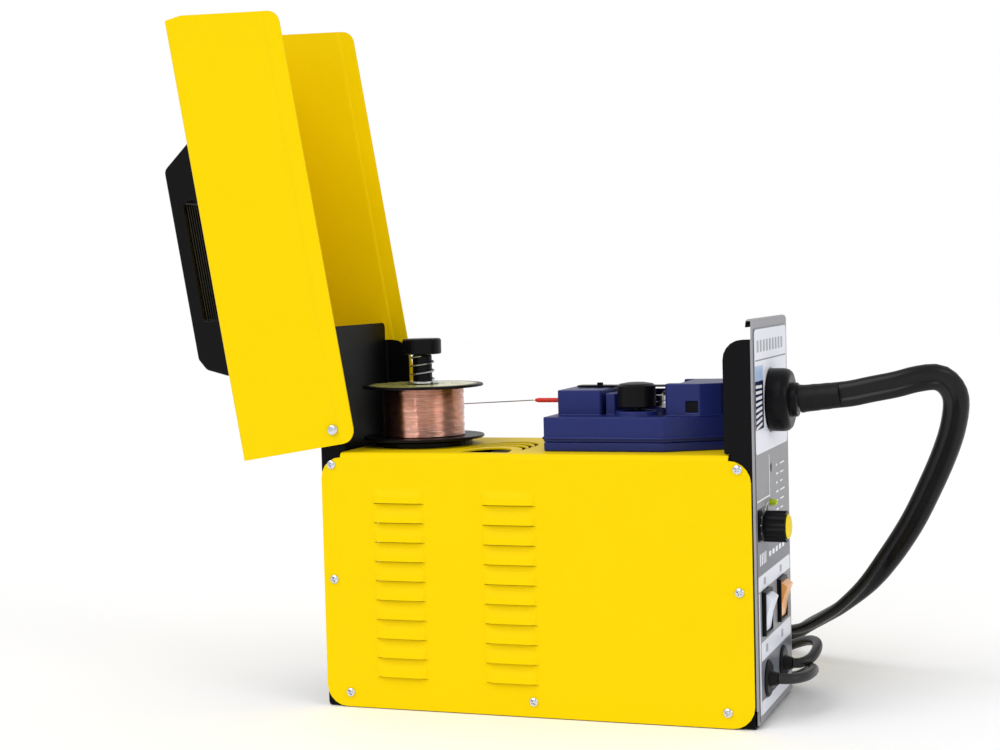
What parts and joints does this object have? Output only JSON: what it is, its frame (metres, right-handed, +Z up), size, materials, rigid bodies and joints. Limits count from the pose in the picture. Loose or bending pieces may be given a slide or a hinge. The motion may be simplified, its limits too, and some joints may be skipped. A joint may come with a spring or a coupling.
{
  "type": "wire feeder",
  "caption": "Compact gasless wire-feed welding machine with a hinged lid open over its wire spool and roller feed unit, a front control panel, and torch, mains and earth leads.",
  "frame": {"origin": "centre of the case's underside, on the floor", "axes": "+X towards the front control panel, +Y to the far side, away from the feeder's knob, +Z up"},
  "size_m": [0.6648, 0.4587, 0.5624],
  "materials": {
    "yellow_paint": "gloss",
    "black_paint": "satin",
    "panel_print": "printed film",
    "black_plastic": "matte",
    "grey_plastic": "matte",
    "blue_plastic": "satin",
    "yellow_plastic": "gloss",
    "white_plastic": "gloss",
    "orange_plastic": "gloss",
    "red_plastic": "satin",
    "green_lens": "gloss",
    "dark_lens": "gloss",
    "zinc": "zinc plated",
    "steel": "satin",
    "laminated_steel": "varnished",
    "copper": "copper coated",
    "brass": "satin",
    "aluminium": "satin",
    "board": "satin",
    "rubber": "satin"
  },
  "bodies": {
    "case": {"base_pan": "black_paint", "front_panel": "black_paint", "rear_panel": "black_paint", "cover": "yellow_paint", "front_overlay": "panel_print", "torch_collar": "black_plastic", "power_led": "green_lens", "fault_led": "dark_lens", "speed_potentiometer": "grey_plastic", "heat_switch_housing": "black_plastic", "power_switch_housing": "black_plastic", "mains_gland": "rubber", "earth_gland": "rubber", "transformer_core": "laminated_steel", "transformer_winding": "copper", "rectifier_heatsink": "aluminium", "control_board": "board", "fan_housing": "black_plastic", "hinge_screw_near": "zinc", "hinge_screw_far": "zinc", "spool_spindle": "black_plastic", "brake_washer": "zinc", "brake_spring": "steel", "welding_wire": "copper", "feeder_base": "blue_plastic", "feeder_cover": "blue_plastic", "feed_motor": "steel", "pressure_spring": "steel", "inlet_guide": "red_plastic", "outlet_tube": "brass", "torch_sleeve": "rubber", "torch_cable": "rubber", "torch_cable_coil": "rubber", "torch_handle": "black_plastic", "torch_nozzle": "black_plastic", "mains_lead": "rubber", "mains_lead_coil": "rubber", "mains_plug": "black_plastic", "earth_lead": "rubber", "earth_lead_coil": "rubber", "clamp_fixed_jaw": "copper"},
    "lid": {"lid": "yellow_paint", "carry_handle": "black_plastic"},
    "spool": {"spool_reel": "black_plastic", "wire_winding": "copper"},
    "brake_knob": {"brake_knob": "black_plastic"},
    "feed_drive": {"drive_roller": "steel", "worm_wheel": "white_plastic"},
    "motor_worm": {"motor_worm": "steel"},
    "pressure_arm": {"pressure_arm": "black_paint"},
    "pressure_roller": {"pressure_roller": "steel"},
    "tension_knob": {"tension_knob": "black_plastic"},
    "speed_knob": {"speed_knob": "black_plastic", "speed_knob_cap": "yellow_plastic"},
    "heat_rocker": {"heat_rocker": "white_plastic"},
    "power_rocker": {"power_rocker": "orange_plastic"},
    "fan_impeller": {"fan_impeller": "black_plastic"},
    "torch_trigger": {"torch_trigger": "grey_plastic"},
    "clamp_moving_jaw": {"clamp_moving_jaw": "copper"}
  },
  "joints": [
    {"name": "lid_hinge", "type": "hinge", "parent": "case", "child": "lid", "pos_m": [-0.1632, 0, 0.224], "axis": [0, 1, 0], "range_deg": [0, 99.4]},
    {"name": "spool_spin", "type": "hinge", "parent": "case", "child": "spool", "pos_m": [-0.1138, 0.0005, 0.234], "axis": [0, 0, 1], "continuous": true},
    {"name": "brake_knob_turn", "type": "hinge", "parent": "case", "child": "brake_knob", "pos_m": [-0.1138, 0.0005, 0.288], "axis": [0, 0, 1], "range_deg": [-720, 720]},
    {"name": "drive_roller_spin", "type": "hinge", "parent": "case", "child": "feed_drive", "pos_m": [0.098, -0.0148, 0.243], "axis": [0, 0, 1], "continuous": true},
    {"name": "motor_spin", "type": "hinge", "parent": "case", "child": "motor_worm", "pos_m": [0.064, -0.0321, 0.2195], "axis": [1, 0, 0], "continuous": true},
    {"name": "pressure_arm_swing", "type": "hinge", "parent": "case", "child": "pressure_arm", "pos_m": [0.037, 0.008, 0.2548], "axis": [0, 0, 1], "range_deg": [0, 7], "stiffness_Nm_per_rad": 0.4, "springref_deg": -22.92, "deforming": ["pressure_spring"]},
    {"name": "pressure_roller_spin", "type": "hinge", "parent": "pressure_arm", "child": "pressure_roller", "pos_m": [0.098, 0.0048, 0.243], "axis": [0, 0, 1], "continuous": true},
    {"name": "tension_knob_turn", "type": "hinge", "parent": "case", "child": "tension_knob", "pos_m": [0.0776, -0.03, 0.247], "axis": [0, 0, 1], "range_deg": [-90, 90]},
    {"name": "speed_knob_turn", "type": "hinge", "parent": "case", "child": "speed_knob", "pos_m": [0.187, -0.037, 0.1492], "axis": [1, 0, 0], "range_deg": [-150, 150]},
    {"name": "heat_rocker_tilt", "type": "hinge", "parent": "case", "child": "heat_rocker", "pos_m": [0.1755, -0.0385, 0.0843], "axis": [0, -1, 0], "range_deg": [0, 28.2]},
    {"name": "power_rocker_tilt", "type": "hinge", "parent": "case", "child": "power_rocker", "pos_m": [0.1755, 0.0205, 0.0843], "axis": [0, -1, 0], "range_deg": [0, 28.2]},
    {"name": "fan_spin", "type": "hinge", "parent": "case", "child": "fan_impeller", "pos_m": [-0.0375, -0.008, 0.191], "axis": [0, 0, 1], "continuous": true},
    {"name": "torch_trigger_pull", "type": "hinge", "parent": "case", "child": "torch_trigger", "pos_m": [-0.121, 0.3626, 0.0173], "axis": [0, 0, -1], "range_deg": [0, 6], "stiffness_Nm_per_rad": 0.05, "springref_deg": -11.46},
    {"name": "clamp_jaw_open", "type": "hinge", "parent": "case", "child": "clamp_moving_jaw", "pos_m": [-0.244, 0.33, 0.012], "axis": [0, 0, -1], "range_deg": [0, 18], "stiffness_Nm_per_rad": 0.5, "springref_deg": -17.19}
  ],
  "couplings": [
    {"joint": "pressure_roller_spin", "follows": "drive_roller_spin", "ratio": -1},
    {"joint": "motor_spin", "follows": "drive_roller_spin", "ratio": 24},
    {"joint": "spool_spin", "follows": "drive_roller_spin", "ratio": 0.2632}
  ]
}
